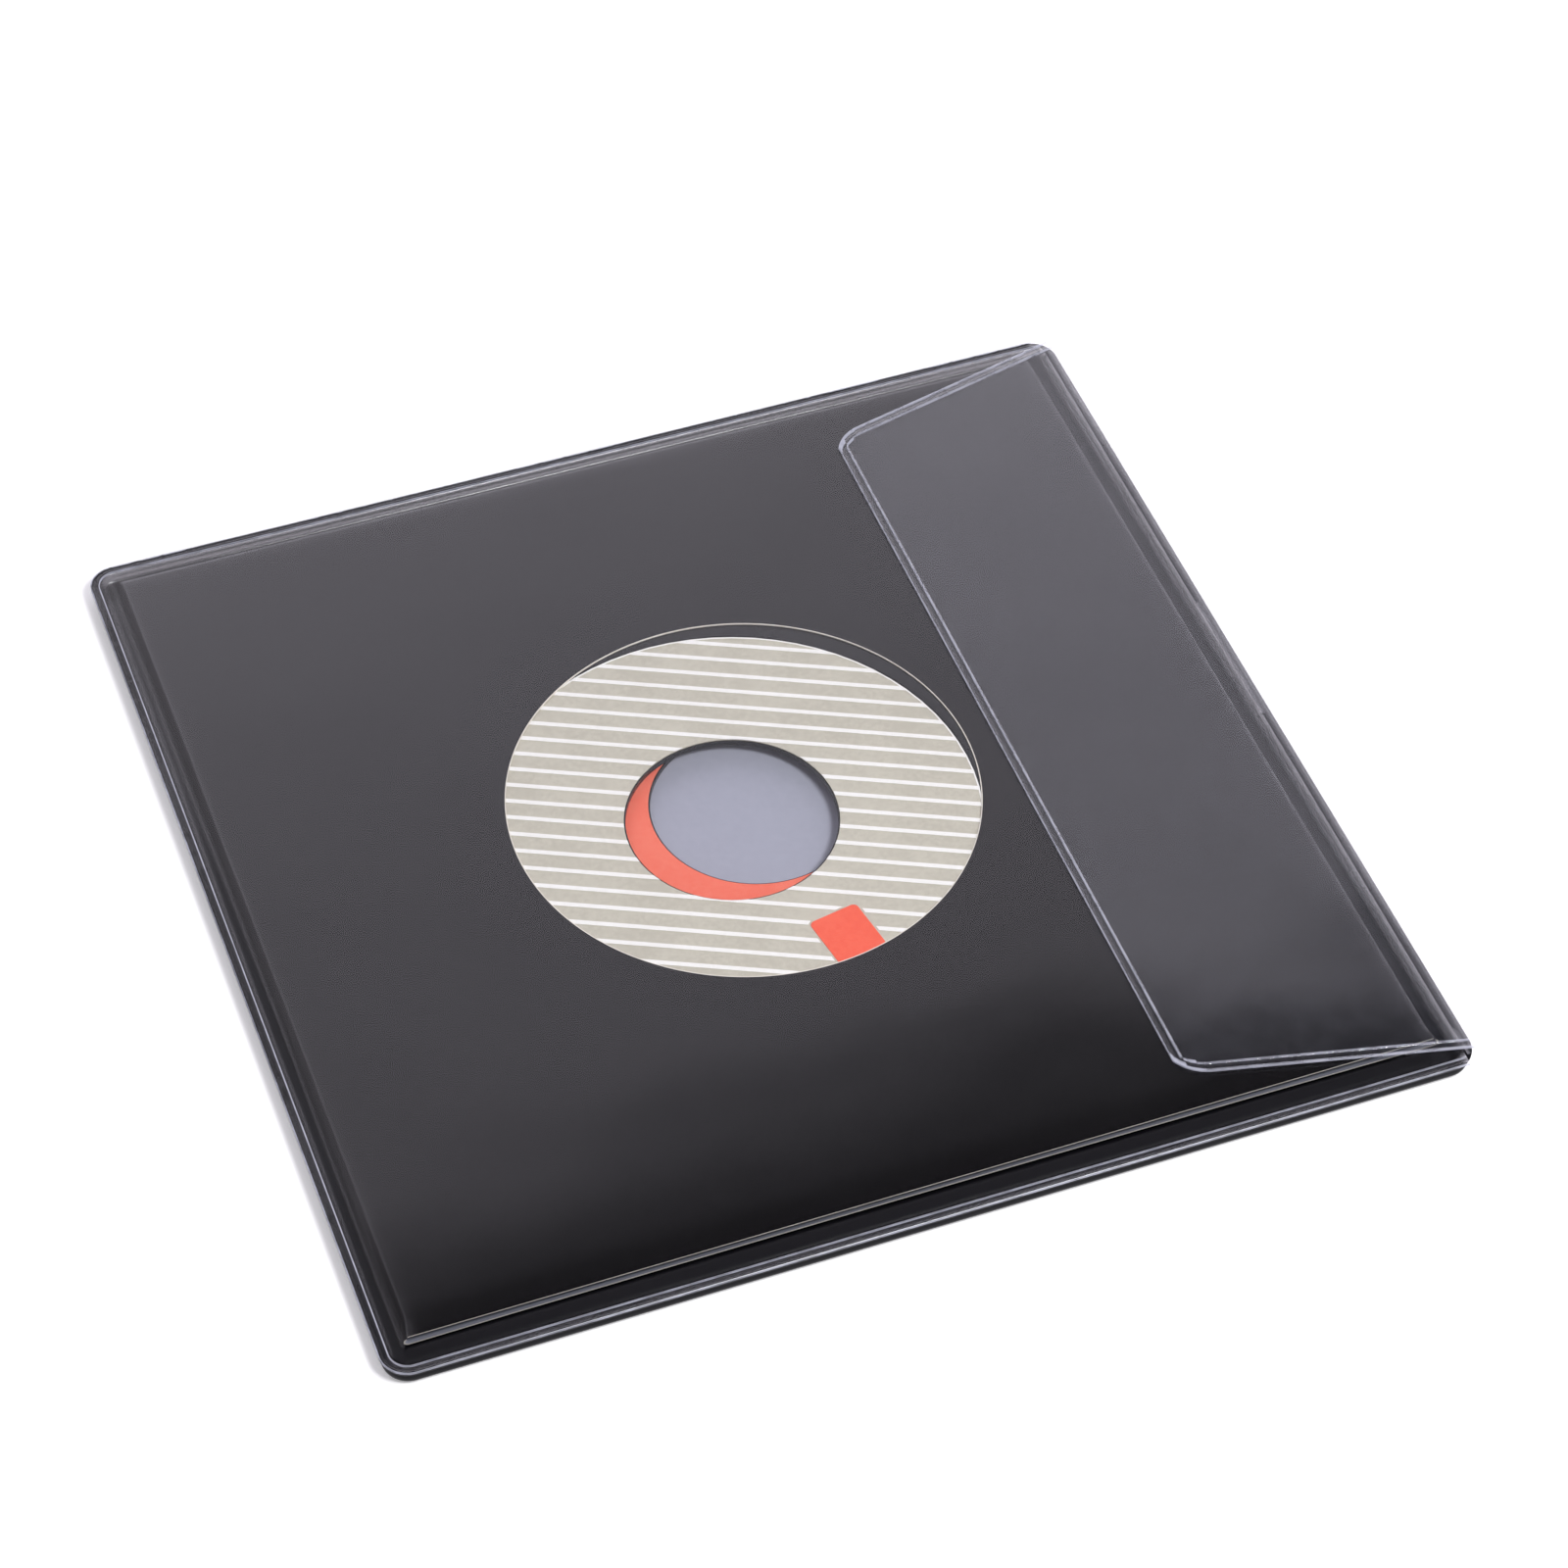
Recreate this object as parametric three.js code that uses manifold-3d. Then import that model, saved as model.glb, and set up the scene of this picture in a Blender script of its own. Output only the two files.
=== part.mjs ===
// Seven inch record sleeve, lying flat: a welded film sleeve with a clear flap, a black paper inner sleeve
// with a round window, and the two discs inside it with their labels.
// Millimetres. +X points to the mouth and the flap, +Y to the back, +Z up. The origin is the middle of the
// sleeve on the surface that it lies on.
import * as THREE from 'three';
import { mergeVertices } from 'three/addons/utils/BufferGeometryUtils.js';
import Module from 'manifold-3d';

const wasm = await Module();
wasm.setup();

// Driving dimensions: film sleeve
const FILM = 0.3;               // film thickness
const SLEEVE_WIDTH = 195;       // left weld to the fold at the mouth
const SLEEVE_DEPTH = 195;       // front weld to back weld
const SLEEVE_CORNER = 5;        // corner radius of the welded outline
const WELD_WIDTH = 1.6;         // flat welded rim
const BEAD_WIDTH = 0.5;         // raised bead along each side of the weld
const BEAD_HEIGHT = 0.12;
const RIM_HEIGHT = 3.4;         // height of the face where the two sheets are welded
const SIDE_INSET = 0.4;         // widest line of the bulging side under the rim, in from the rim's edge
const SIDE_HEIGHT = 1.5;        // height of that line
const FOOT_RUN = 1.8;           // width of the bend between that line and the flat back
const SLIT = 0.15;              // air between the rim and the film that turns down under it
const SHOULDER_RUN = 3.2;       // width of the slope between the rim and the flat front
const MOUTH_SETBACK = 2.2;      // the free edge of the front sheet, in from the fold

// Driving dimensions: flap
const FLAP_REACH = 50.3;        // fold to free edge
const FLAP_HALF_ROOT = 95.2;    // half length along the fold
const FLAP_TAPER = 0.235;       // side draw-in for each millimetre of reach
const FLAP_CORNER = 6;
const FLAP_LINE_INSET = 1.4;    // embossed line, in from the free edges
const FLAP_LINE_WIDTH = 0.5;

// Driving dimensions: paper sleeve
const PAPER = 0.25;             // paper thickness
const PAPER_WIDTH = 185.2;
const PAPER_DEPTH = 184.6;
const PAPER_CORNER = 1.2;       // plan radius of the folded corners
const PAPER_LEFT = -92.8;       // where the sleeve has slid to, left edge
const PAPER_FRONT = -90.9;      // and its open front edge
const WINDOW_DIAMETER = 85.4;
const WINDOW_CENTRE = [-0.4, 2.6];

// Driving dimensions: records
const RECORD_DIAMETER = 174.6;
const RECORD_THICKNESS = 1.6;   // at the rim bead and the label land
const RECORD_HOLE = 38.1;
const RIM_BEAD = 2.4;           // width of the raised rim
const GROOVE_DEPTH = 0.15;      // how far the playing area lies below the rim and the land
const LAND_DIAMETER = 100;      // raised ring round the label
const LABEL_DIAMETER = 90.4;
const LABEL_HOLE = 38.7;
const LABEL = 0.2;              // label thickness
const PRINT = 0.1;              // thickness of a printed field
const LABEL_CLEARANCE = 0.3;    // round the label in its recess
const UPPER_CENTRE = [-4.3, -2.0];
const LOWER_CENTRE = [1.5, 1.5];
const LAYER_GAP = 0.05;         // air between layers that lie on each other

// Driving dimensions: print on the label that shows
const STRIPE_PITCH = 3.88;
const STRIPE_WIDTH = 0.9;
const STRIPE_ANGLE = -25.6;     // degrees from +X
const STRIPE_PHASE = 0.2;       // distance of the middle stripe from the record's centre
const STRIPE_BORDER = 0.3;      // thin printed ring at the label's edge that the stripes run into
const BLOCK_CENTRE = [5.6, -34.4];
const BLOCK_SIZE = [9.5, 11];
const BLOCK_CORNER = 1;
const BLOCK_ANGLE = 10;         // degrees from +X
const BLOCK_CLEARANCE = 0.4;    // bare label between the block and the stripes

// Facets
const CORNER_FACETS = 6;
const BEND_FACETS = 5;
const SIDE_FACETS = 3;
const FOLD_FACETS = 6;
const DISC_FACETS = 72;
const WINDOW_FACETS = 80;
const OVERCUT = 5;              // how far a cutter runs past what it cuts

// Heights of the layers, from the surface up
const backSheetTop = FILM;
const paperBottom = backSheetTop + LAYER_GAP;
const lowerRecordBottom = paperBottom + PAPER + LAYER_GAP;
const upperRecordBottom = lowerRecordBottom + RECORD_THICKNESS + LAYER_GAP;
const paperTop = upperRecordBottom + RECORD_THICKNESS + LAYER_GAP + PAPER;
const frontSheetBottom = paperTop + LAYER_GAP;
const frontSheetTop = frontSheetBottom + FILM;
const flapBottom = frontSheetTop + LAYER_GAP;
const flapTop = flapBottom + FILM;
const rimTop = RIM_HEIGHT + FILM;

const halfWidth = SLEEVE_WIDTH / 2;
const halfDepth = SLEEVE_DEPTH / 2;
const recordRadius = RECORD_DIAMETER / 2;
const radians = THREE.MathUtils.degToRad;

// Solids and booleans

function toSolid(geometry) {
  const bare = geometry.clone();
  bare.deleteAttribute('normal');
  bare.deleteAttribute('uv');
  const merged = mergeVertices(bare, 1e-5);
  return new wasm.Manifold(new wasm.Mesh({
    numProp: 3,
    vertProperties: new Float32Array(merged.attributes.position.array),
    triVerts: new Uint32Array(merged.index.array),
  }));
}

function toGeometry(solid) {
  const mesh = solid.getMesh();
  const geometry = new THREE.BufferGeometry();
  geometry.setAttribute('position', new THREE.BufferAttribute(new Float32Array(mesh.vertProperties), 3));
  geometry.setIndex(new THREE.BufferAttribute(new Uint32Array(mesh.triVerts), 1));
  geometry.computeVertexNormals();
  return geometry;
}

function blockSolid(low, high) {
  const size = high.map((value, axis) => value - low[axis]);
  const box = new THREE.BoxGeometry(...size);
  box.translate(...low.map((value, axis) => value + size[axis] / 2));
  return toSolid(box);
}

function discSolid(radius, centre, low, high, facets) {
  const disc = new THREE.CylinderGeometry(radius, radius, high - low, facets);
  disc.rotateX(Math.PI / 2);
  disc.translate(centre[0], centre[1], (low + high) / 2);
  return toSolid(disc);
}

function plateSolid(shape, low, high) {
  const plate = new THREE.ExtrudeGeometry(shape, {
    depth: high - low,
    bevelEnabled: false,
    curveSegments: CORNER_FACETS,
  });
  plate.translate(0, 0, low);
  return toSolid(plate);
}

// A rectangle with rounded corners, drawn in from its outline by an inset, as a ring of points at height z.
function outlineRing(bounds, corner, inset, z) {
  const radius = Math.max(corner - inset, 0.4);
  const [left, right] = [bounds.left + inset + radius, bounds.right - inset - radius];
  const [front, back] = [bounds.front + inset + radius, bounds.back - inset - radius];
  const corners = [[right, back], [left, back], [left, front], [right, front]];
  return corners.flatMap(([x, y], quarter) => {
    const points = [];
    for (let step = 0; step <= CORNER_FACETS; step += 1) {
      const angle = (quarter + step / CORNER_FACETS) * Math.PI / 2;
      points.push(new THREE.Vector3(x + radius * Math.cos(angle), y + radius * Math.sin(angle), z));
    }
    return points;
  });
}

// A closed solid from a profile of [inset, height] points that runs round the outline. The first and the
// last ring are closed with flat caps.
function ringSolid(bounds, corner, profile) {
  const rings = profile.map(([inset, z]) => outlineRing(bounds, corner, inset, z));
  const count = rings[0].length;
  const positions = rings.flat().flatMap((point) => point.toArray());
  const faces = [];
  for (let ring = 0; ring < rings.length - 1; ring += 1) {
    for (let i = 0; i < count; i += 1) {
      const next = (i + 1) % count;
      const [a, b] = [ring * count + i, ring * count + next];
      const [c, d] = [a + count, b + count];
      faces.push(a, b, d, a, d, c);
    }
  }
  const last = (rings.length - 1) * count;
  for (let i = 1; i < count - 1; i += 1) {
    faces.push(0, i + 1, i);
    faces.push(last, last + i, last + i + 1);
  }
  const geometry = new THREE.BufferGeometry();
  geometry.setAttribute('position', new THREE.Float32BufferAttribute(positions, 3));
  geometry.setIndex(faces);
  return toSolid(geometry);
}

// A quarter bend that leaves [inset, fromZ] upright and reaches toZ level, run further in.
function bendProfile(inset, run, fromZ, toZ, facets) {
  const points = [];
  for (let step = 0; step <= facets; step += 1) {
    const angle = step / facets * Math.PI / 2;
    points.push([inset + run * (1 - Math.cos(angle)), fromZ + (toZ - fromZ) * Math.sin(angle)]);
  }
  return points;
}

// Two raised beads, one along each side of the welded rim, from the outer edge inwards.
function beadProfile() {
  const innerEdge = WELD_WIDTH - BEAD_WIDTH;
  return [
    [0, rimTop],
    [BEAD_WIDTH / 2, rimTop + BEAD_HEIGHT],
    [BEAD_WIDTH, rimTop],
    [innerEdge, rimTop],
    [innerEdge + BEAD_WIDTH / 2, rimTop + BEAD_HEIGHT],
    [WELD_WIDTH, rimTop + FILM / 3],
  ];
}

// Film sleeve

const sleeveBounds = { left: -halfWidth, right: halfWidth, front: -halfDepth, back: halfDepth };

// One face of the back sheet's side, a depth inside its outer face, from the flat back up to the weld.
function sideProfile(depth) {
  const widest = SIDE_INSET + depth;
  const neck = RIM_HEIGHT - FILM - SLIT - depth;
  const foot = bendProfile(widest, FOOT_RUN - depth, SIDE_HEIGHT, depth, SIDE_FACETS).reverse();
  const head = bendProfile(widest, WELD_WIDTH - SIDE_INSET, SIDE_HEIGHT, neck, SIDE_FACETS);
  return [...foot, ...head.slice(1)];
}

function backSheet() {
  const rim = [
    [WELD_WIDTH, RIM_HEIGHT - FILM],
    [0, RIM_HEIGHT - FILM],
    [0, RIM_HEIGHT],
    [WELD_WIDTH + FILM, RIM_HEIGHT],
  ];
  const profile = [...sideProfile(0), ...rim, ...sideProfile(FILM).reverse()];
  return ringSolid(sleeveBounds, SLEEVE_CORNER, profile);
}

function frontSheet() {
  const slope = [[WELD_WIDTH + SHOULDER_RUN, frontSheetBottom], [WELD_WIDTH, RIM_HEIGHT]];
  const profile = [
    ...slope,
    [0, RIM_HEIGHT],
    ...beadProfile(),
    [WELD_WIDTH + SHOULDER_RUN, frontSheetTop],
  ];
  const longBounds = { ...sleeveBounds, right: halfWidth + SHOULDER_RUN + WELD_WIDTH + SLEEVE_CORNER };
  const mouth = blockSolid(
    [halfWidth - MOUTH_SETBACK, -halfDepth - OVERCUT, 0],
    [longBounds.right + OVERCUT, halfDepth + OVERCUT, frontSheetTop + OVERCUT],
  );
  return ringSolid(longBounds, SLEEVE_CORNER, profile).subtract(mouth);
}

// Plan of the flap, drawn in from its free edges by an inset.
function flapOutline(inset) {
  const freeEdge = halfWidth - FLAP_REACH + inset;
  const sideInset = inset * Math.hypot(1, FLAP_TAPER);
  const halfRoot = FLAP_HALF_ROOT - sideInset;
  const halfFree = halfRoot - FLAP_TAPER * (halfWidth - freeEdge);
  const radius = FLAP_CORNER - inset;
  const side = new THREE.Vector2(1, FLAP_TAPER).normalize().multiplyScalar(radius);
  const outline = new THREE.Shape();
  outline.moveTo(halfWidth + OVERCUT, -halfRoot - FLAP_TAPER * OVERCUT);
  outline.lineTo(halfWidth + OVERCUT, halfRoot + FLAP_TAPER * OVERCUT);
  outline.lineTo(freeEdge + side.x, halfFree + side.y);
  outline.quadraticCurveTo(freeEdge, halfFree, freeEdge, halfFree - radius);
  outline.lineTo(freeEdge, -halfFree + radius);
  outline.quadraticCurveTo(freeEdge, -halfFree, freeEdge + side.x, -halfFree - side.y);
  outline.closePath();
  return outline;
}

// Section of the folded film: a short leg on the rim, the fold, and the leg that lies on the front sheet.
function flapSection() {
  const outer = (flapTop - RIM_HEIGHT) / 2;
  const inner = outer - FILM;
  const foldX = halfWidth - outer;
  const foldZ = RIM_HEIGHT + outer;
  const legEnd = halfWidth - WELD_WIDTH;
  const freeEdge = halfWidth - FLAP_REACH - OVERCUT;
  const section = new THREE.Shape();
  section.moveTo(legEnd, RIM_HEIGHT);
  section.lineTo(foldX, RIM_HEIGHT);
  section.absarc(foldX, foldZ, outer, -Math.PI / 2, Math.PI / 2, false);
  section.lineTo(freeEdge, flapTop);
  section.lineTo(freeEdge, flapBottom);
  section.lineTo(foldX, flapBottom);
  section.absarc(foldX, foldZ, inner, Math.PI / 2, -Math.PI / 2, true);
  section.lineTo(legEnd, rimTop);
  section.closePath();
  return section;
}

function flap() {
  const folded = new THREE.ExtrudeGeometry(flapSection(), {
    depth: SLEEVE_DEPTH,
    bevelEnabled: false,
    curveSegments: FOLD_FACETS,
  });
  folded.rotateX(Math.PI / 2);
  folded.translate(0, halfDepth, 0);
  const trimmed = toSolid(folded).intersect(plateSolid(flapOutline(0), 0, flapTop + OVERCUT));
  const lineTop = flapTop + BEAD_HEIGHT;
  const lineEnd = blockSolid(
    [halfWidth - (flapTop - RIM_HEIGHT), -halfDepth - OVERCUT, 0],
    [halfWidth + 2 * OVERCUT, halfDepth + OVERCUT, lineTop + OVERCUT],
  );
  const line = plateSolid(flapOutline(FLAP_LINE_INSET), flapBottom, lineTop)
    .subtract(plateSolid(flapOutline(FLAP_LINE_INSET + FLAP_LINE_WIDTH), 0, lineTop + OVERCUT))
    .subtract(lineEnd);
  return trimmed.add(line);
}

// Paper sleeve

// A flat pillow with rounded edges over the given bounds.
function pillow(bounds, low, high) {
  const radius = (high - low) / 2;
  const middle = (high + low) / 2;
  const profile = [];
  const steps = 2 * BEND_FACETS;
  for (let step = 0; step <= steps; step += 1) {
    const angle = (step / steps - 0.5) * Math.PI;
    profile.push([radius * (1 - Math.cos(angle)), middle + radius * Math.sin(angle)]);
  }
  return ringSolid(bounds, PAPER_CORNER, profile);
}

function innerSleeve() {
  const outer = {
    left: PAPER_LEFT,
    right: PAPER_LEFT + PAPER_WIDTH,
    front: PAPER_FRONT - OVERCUT,
    back: PAPER_FRONT + PAPER_DEPTH,
  };
  const inner = {
    left: outer.left + PAPER,
    right: outer.right - PAPER,
    front: outer.front - OVERCUT,
    back: outer.back - PAPER,
  };
  const mouth = blockSolid(
    [outer.left - OVERCUT, inner.front - OVERCUT, -OVERCUT],
    [outer.right + OVERCUT, PAPER_FRONT, paperTop + OVERCUT],
  );
  const windowHole = discSolid(
    WINDOW_DIAMETER / 2, WINDOW_CENTRE, (paperBottom + paperTop) / 2, paperTop + OVERCUT, WINDOW_FACETS,
  );
  return pillow(outer, paperBottom, paperTop)
    .subtract(pillow(inner, paperBottom + PAPER, paperTop - PAPER))
    .subtract(mouth)
    .subtract(windowHole);
}

// Records and labels

// Half of the record's section, from the hole outwards, as [radius, half thickness].
function recordFace() {
  const full = RECORD_THICKNESS / 2;
  const groove = full - GROOVE_DEPTH;
  const recess = full - LABEL - PRINT;
  const recessEdge = LABEL_DIAMETER / 2 + LABEL_CLEARANCE;
  const bevel = 0.5;
  return [
    [RECORD_HOLE / 2, recess],
    [recessEdge, recess],
    [recessEdge, full],
    [LAND_DIAMETER / 2, full],
    [LAND_DIAMETER / 2 + bevel, groove],
    [recordRadius - RIM_BEAD, groove],
    [recordRadius - RIM_BEAD + bevel, full],
    [recordRadius - full, full],
    [recordRadius - full * (1 - Math.SQRT1_2), full * Math.SQRT1_2],
  ];
}

function record(bottom, centre) {
  const face = recordFace();
  const under = face.map(([radius, height]) => new THREE.Vector2(radius, -height));
  const top = face.map(([radius, height]) => new THREE.Vector2(radius, height));
  const rim = new THREE.Vector2(recordRadius, 0);
  const section = [...under, rim, ...top.reverse()];
  section.push(section[0].clone());
  const disc = new THREE.LatheGeometry(section, DISC_FACETS);
  disc.rotateX(Math.PI / 2);
  disc.translate(centre[0], centre[1], bottom + RECORD_THICKNESS / 2);
  return toSolid(disc);
}

function label(bottom, centre) {
  const outer = discSolid(LABEL_DIAMETER / 2, centre, bottom, bottom + LABEL, DISC_FACETS);
  const hole = discSolid(LABEL_HOLE / 2, centre, bottom - OVERCUT, bottom + OVERCUT, DISC_FACETS);
  return outer.subtract(hole);
}

const backLabelBottom = (recordBottom) => recordBottom + PRINT;
const frontLabelBottom = (recordBottom) => recordBottom + RECORD_THICKNESS - PRINT - LABEL;
const printBottom = frontLabelBottom(upperRecordBottom) + LABEL;

// A rectangle with rounded corners, turned and placed on the label.
function printedBlock(margin) {
  const [width, height] = BLOCK_SIZE.map((size) => size / 2 + margin);
  const radius = BLOCK_CORNER + margin;
  const shape = new THREE.Shape();
  shape.absarc(width - radius, height - radius, radius, 0, Math.PI / 2, false);
  shape.absarc(radius - width, height - radius, radius, Math.PI / 2, Math.PI, false);
  shape.absarc(radius - width, radius - height, radius, Math.PI, 1.5 * Math.PI, false);
  shape.absarc(width - radius, radius - height, radius, 1.5 * Math.PI, 2 * Math.PI, false);
  shape.closePath();
  return plateSolid(shape, printBottom, printBottom + PRINT)
    .rotate([0, 0, BLOCK_ANGLE])
    .translate([...BLOCK_CENTRE, 0]);
}

function labelStripes() {
  const radius = LABEL_DIAMETER / 2;
  const top = printBottom + PRINT;
  const ring = (outer, inner) => discSolid(outer, UPPER_CENTRE, printBottom, top, DISC_FACETS)
    .subtract(discSolid(inner, UPPER_CENTRE, printBottom - PRINT, top + PRINT, DISC_FACETS));
  const field = ring(radius, LABEL_HOLE / 2);
  const reach = Math.floor(radius / STRIPE_PITCH);
  let lines = ring(radius, radius - STRIPE_BORDER);
  for (let index = -reach; index <= reach; index += 1) {
    const middle = index * STRIPE_PITCH + STRIPE_PHASE;
    const bar = blockSolid(
      [-radius, middle - STRIPE_WIDTH / 2, printBottom],
      [radius, middle + STRIPE_WIDTH / 2, top],
    );
    lines = lines.add(bar.rotate([0, 0, STRIPE_ANGLE]).translate([...UPPER_CENTRE, 0]));
  }
  return lines.intersect(field).subtract(printedBlock(BLOCK_CLEARANCE));
}

// Materials

const clearFilm = new THREE.MeshStandardMaterial({
  color: 0xdfe3ea,
  roughness: 0.12,
  metalness: 0,
  transparent: true,
  opacity: 0.2,
});
const blackFilm = new THREE.MeshStandardMaterial({ color: 0x121214, roughness: 0.2, metalness: 0 });
const blackPaper = new THREE.MeshStandardMaterial({ color: 0x1c1b1d, roughness: 0.6, metalness: 0 });
const vinyl = new THREE.MeshStandardMaterial({ color: 0x0c0c0d, roughness: 0.25, metalness: 0 });
const labelPaper = new THREE.MeshStandardMaterial({ color: 0xc8c3bb, roughness: 0.7, metalness: 0 });
const whiteInk = new THREE.MeshStandardMaterial({ color: 0xf4f3ee, roughness: 0.6, metalness: 0 });
const coralPaper = new THREE.MeshStandardMaterial({ color: 0xf8704f, roughness: 0.65, metalness: 0 });

// Assembly

const part = new THREE.Group();

function addPiece(group, name, solid, material) {
  const mesh = new THREE.Mesh(toGeometry(solid), material);
  mesh.name = name;
  group.add(mesh);
}

const filmSleeve = new THREE.Group();
addPiece(filmSleeve, 'back_sheet', backSheet(), blackFilm);
addPiece(filmSleeve, 'front_sheet', frontSheet(), clearFilm);
addPiece(filmSleeve, 'flap', flap(), clearFilm);
part.add(filmSleeve);

addPiece(part, 'inner_sleeve', innerSleeve(), blackPaper);

const upperDisc = new THREE.Group();
const upperFront = label(frontLabelBottom(upperRecordBottom), UPPER_CENTRE);
const upperBack = label(backLabelBottom(upperRecordBottom), UPPER_CENTRE);
addPiece(upperDisc, 'upper_record', record(upperRecordBottom, UPPER_CENTRE), vinyl);
addPiece(upperDisc, 'upper_label_front', upperFront, labelPaper);
addPiece(upperDisc, 'upper_label_back', upperBack, labelPaper);
addPiece(upperDisc, 'label_stripes', labelStripes(), whiteInk);
addPiece(upperDisc, 'label_block', printedBlock(0), coralPaper);
part.add(upperDisc);

const lowerDisc = new THREE.Group();
const lowerFront = label(frontLabelBottom(lowerRecordBottom), LOWER_CENTRE);
const lowerBack = label(backLabelBottom(lowerRecordBottom), LOWER_CENTRE);
addPiece(lowerDisc, 'lower_record', record(lowerRecordBottom, LOWER_CENTRE), vinyl);
addPiece(lowerDisc, 'lower_label_front', lowerFront, coralPaper);
addPiece(lowerDisc, 'lower_label_back', lowerBack, coralPaper);
part.add(lowerDisc);

export default part;
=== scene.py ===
import math

import bmesh
import bpy
from mathutils import Matrix, Vector, noise


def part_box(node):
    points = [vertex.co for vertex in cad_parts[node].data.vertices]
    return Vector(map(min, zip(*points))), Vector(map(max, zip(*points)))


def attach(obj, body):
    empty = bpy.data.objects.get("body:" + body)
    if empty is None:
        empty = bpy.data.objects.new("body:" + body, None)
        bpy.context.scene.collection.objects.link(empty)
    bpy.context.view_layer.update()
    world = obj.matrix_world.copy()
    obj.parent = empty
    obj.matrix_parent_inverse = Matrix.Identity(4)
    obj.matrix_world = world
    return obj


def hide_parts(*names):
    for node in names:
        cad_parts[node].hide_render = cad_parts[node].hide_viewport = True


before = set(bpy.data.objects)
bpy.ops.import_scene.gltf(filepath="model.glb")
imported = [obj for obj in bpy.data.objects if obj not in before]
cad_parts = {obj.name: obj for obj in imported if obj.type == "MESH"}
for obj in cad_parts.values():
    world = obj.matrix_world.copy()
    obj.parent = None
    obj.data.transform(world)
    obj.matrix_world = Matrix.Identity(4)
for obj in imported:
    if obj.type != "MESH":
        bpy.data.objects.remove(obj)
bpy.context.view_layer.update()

# Looks of a seven inch record sleeve that lies flat: glossy film with welded beads and a folded flap, a
# black paper sleeve with pale cut edges, and the discs and labels in its window. Metres, in the part's frame.

MM = 0.001

# Places read from the solids
_, BACK_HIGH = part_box("back_sheet")
FRONT_LOW, FRONT_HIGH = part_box("front_sheet")
FLAP_LOW, FLAP_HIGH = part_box("flap")
PAPER_LOW, PAPER_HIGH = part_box("inner_sleeve")
LABEL_LOW, LABEL_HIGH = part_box("upper_label_front")
LOWER_LOW, LOWER_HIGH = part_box("lower_label_front")
RIM_Z = BACK_HIGH.z
LABEL_CENTRE = (LABEL_LOW + LABEL_HIGH) / 2
LOWER_CENTRE = (LOWER_LOW + LOWER_HIGH) / 2

# Film, as in the solids
FILM = 0.3 * MM
CORNER = 5 * MM
WELD = 1.6 * MM
BEAD = 0.5 * MM
BEAD_HEIGHT = 0.12 * MM
SHOULDER = 3.2 * MM
SIDE_INSET = 0.4 * MM
SIDE_HEIGHT = 1.5 * MM
FOOT = 1.8 * MM
SLIT = 0.15 * MM
FLAP_TAPER = 0.235
FLAP_CORNER = 6 * MM
FLAP_LINE_INSET = 1.4 * MM
FLAP_TURN = (FLAP_HIGH.z - BEAD_HEIGHT - RIM_Z) / 2     # outer radius of the flap's fold
FOLD_X = FLAP_HIGH.x - FLAP_TURN

# Film, finer than in the solids
LINE = 0.18 * MM          # width of the pale line along each side of a weld
WAVE = 0.08 * MM          # height of the film's soft waves
WAVE_SIZE = 32 * MM
FLAP_WAVE_SHARE = 0.25    # the flap's own waves, as a share of those under it
RIM_WANDER = 0.12 * MM    # height of the rim's rise and fall
RIM_WANDER_RATE = 16      # per metre
SMALLEST_CORNER = 0.4 * MM
GRID = 2.5 * MM           # spacing of the film and paper meshes
BEAD_GAP = 0.12 * MM      # from a bead to the next grid line
BEAD_STEPS = 5
SHOULDER_STEPS = 6
CORNER_STEPS = 12
BEND_STEPS = 8            # grid lines over a bend of film or paper
FOLD_STEPS = 14
FILM_MERGE = 1e-7

# Paper, as in the solids, and its mouth, which the film presses nearly shut
PAPER = 0.25 * MM
PAPER_FOLD = (PAPER_HIGH.z - PAPER_LOW.z) / 2
WINDOW_RADIUS = 42.7 * MM
WINDOW_CENTRE = Vector((-0.4 * MM, 2.6 * MM))
MOUTH_RUN = 5 * MM
MOUTH_LIFT = 2.6 * MM
MOUTH_BOW = 0.5 * MM      # how much less the lower panel is lifted at the mouth's ends
MOUTH_WANDER = 0.06 * MM
MOUTH_WANDER_RATE = 60    # per metre
MOUTH_DROP = 0.1 * MM
MOUTH_STEP = 0.35 * MM    # how far the lower panel's edge stands out past the upper one's
MOUTH_STEPS = 6
PAPER_WAVE = 0.045 * MM
PAPER_MERGE = 1e-6
INSIDE = "inside"         # face attribute of the paper: 1 on its inner side
CUT_LINE = 0.16 * MM      # width of the pale fibres on the face, round the window


# Node helpers

def new_material(name):
    material = bpy.data.materials.new(name)
    material.use_nodes = True
    tree = material.node_tree
    tree.nodes.clear()
    return material, tree


def add(tree, kind, inputs=None, **settings):
    """A node with its settings, and its inputs set to values or linked to sockets."""
    made = tree.nodes.new(kind)
    for key, value in settings.items():
        setattr(made, key, value)
    for key, value in (inputs or {}).items():
        if isinstance(value, bpy.types.NodeSocket):
            tree.links.new(value, made.inputs[key])
        else:
            made.inputs[key].default_value = value
    return made


def math_node(tree, operation, first, second=0.0, clamp=False):
    return add(tree, "ShaderNodeMath", {0: first, 1: second}, operation=operation, use_clamp=clamp).outputs[0]


def vector_node(tree, operation, first, second=(0.0, 0.0, 0.0), output="Vector"):
    made = add(tree, "ShaderNodeVectorMath", {0: first, 1: second}, operation=operation)
    return made.outputs[output]


def smooth_step(tree, value, low, high, to_low=0.0, to_high=1.0):
    made = add(tree, "ShaderNodeMapRange", {
        "Value": value,
        "From Min": low,
        "From Max": high,
        "To Min": to_low,
        "To Max": to_high,
    }, interpolation_type="SMOOTHSTEP")
    return made.outputs["Result"]


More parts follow.
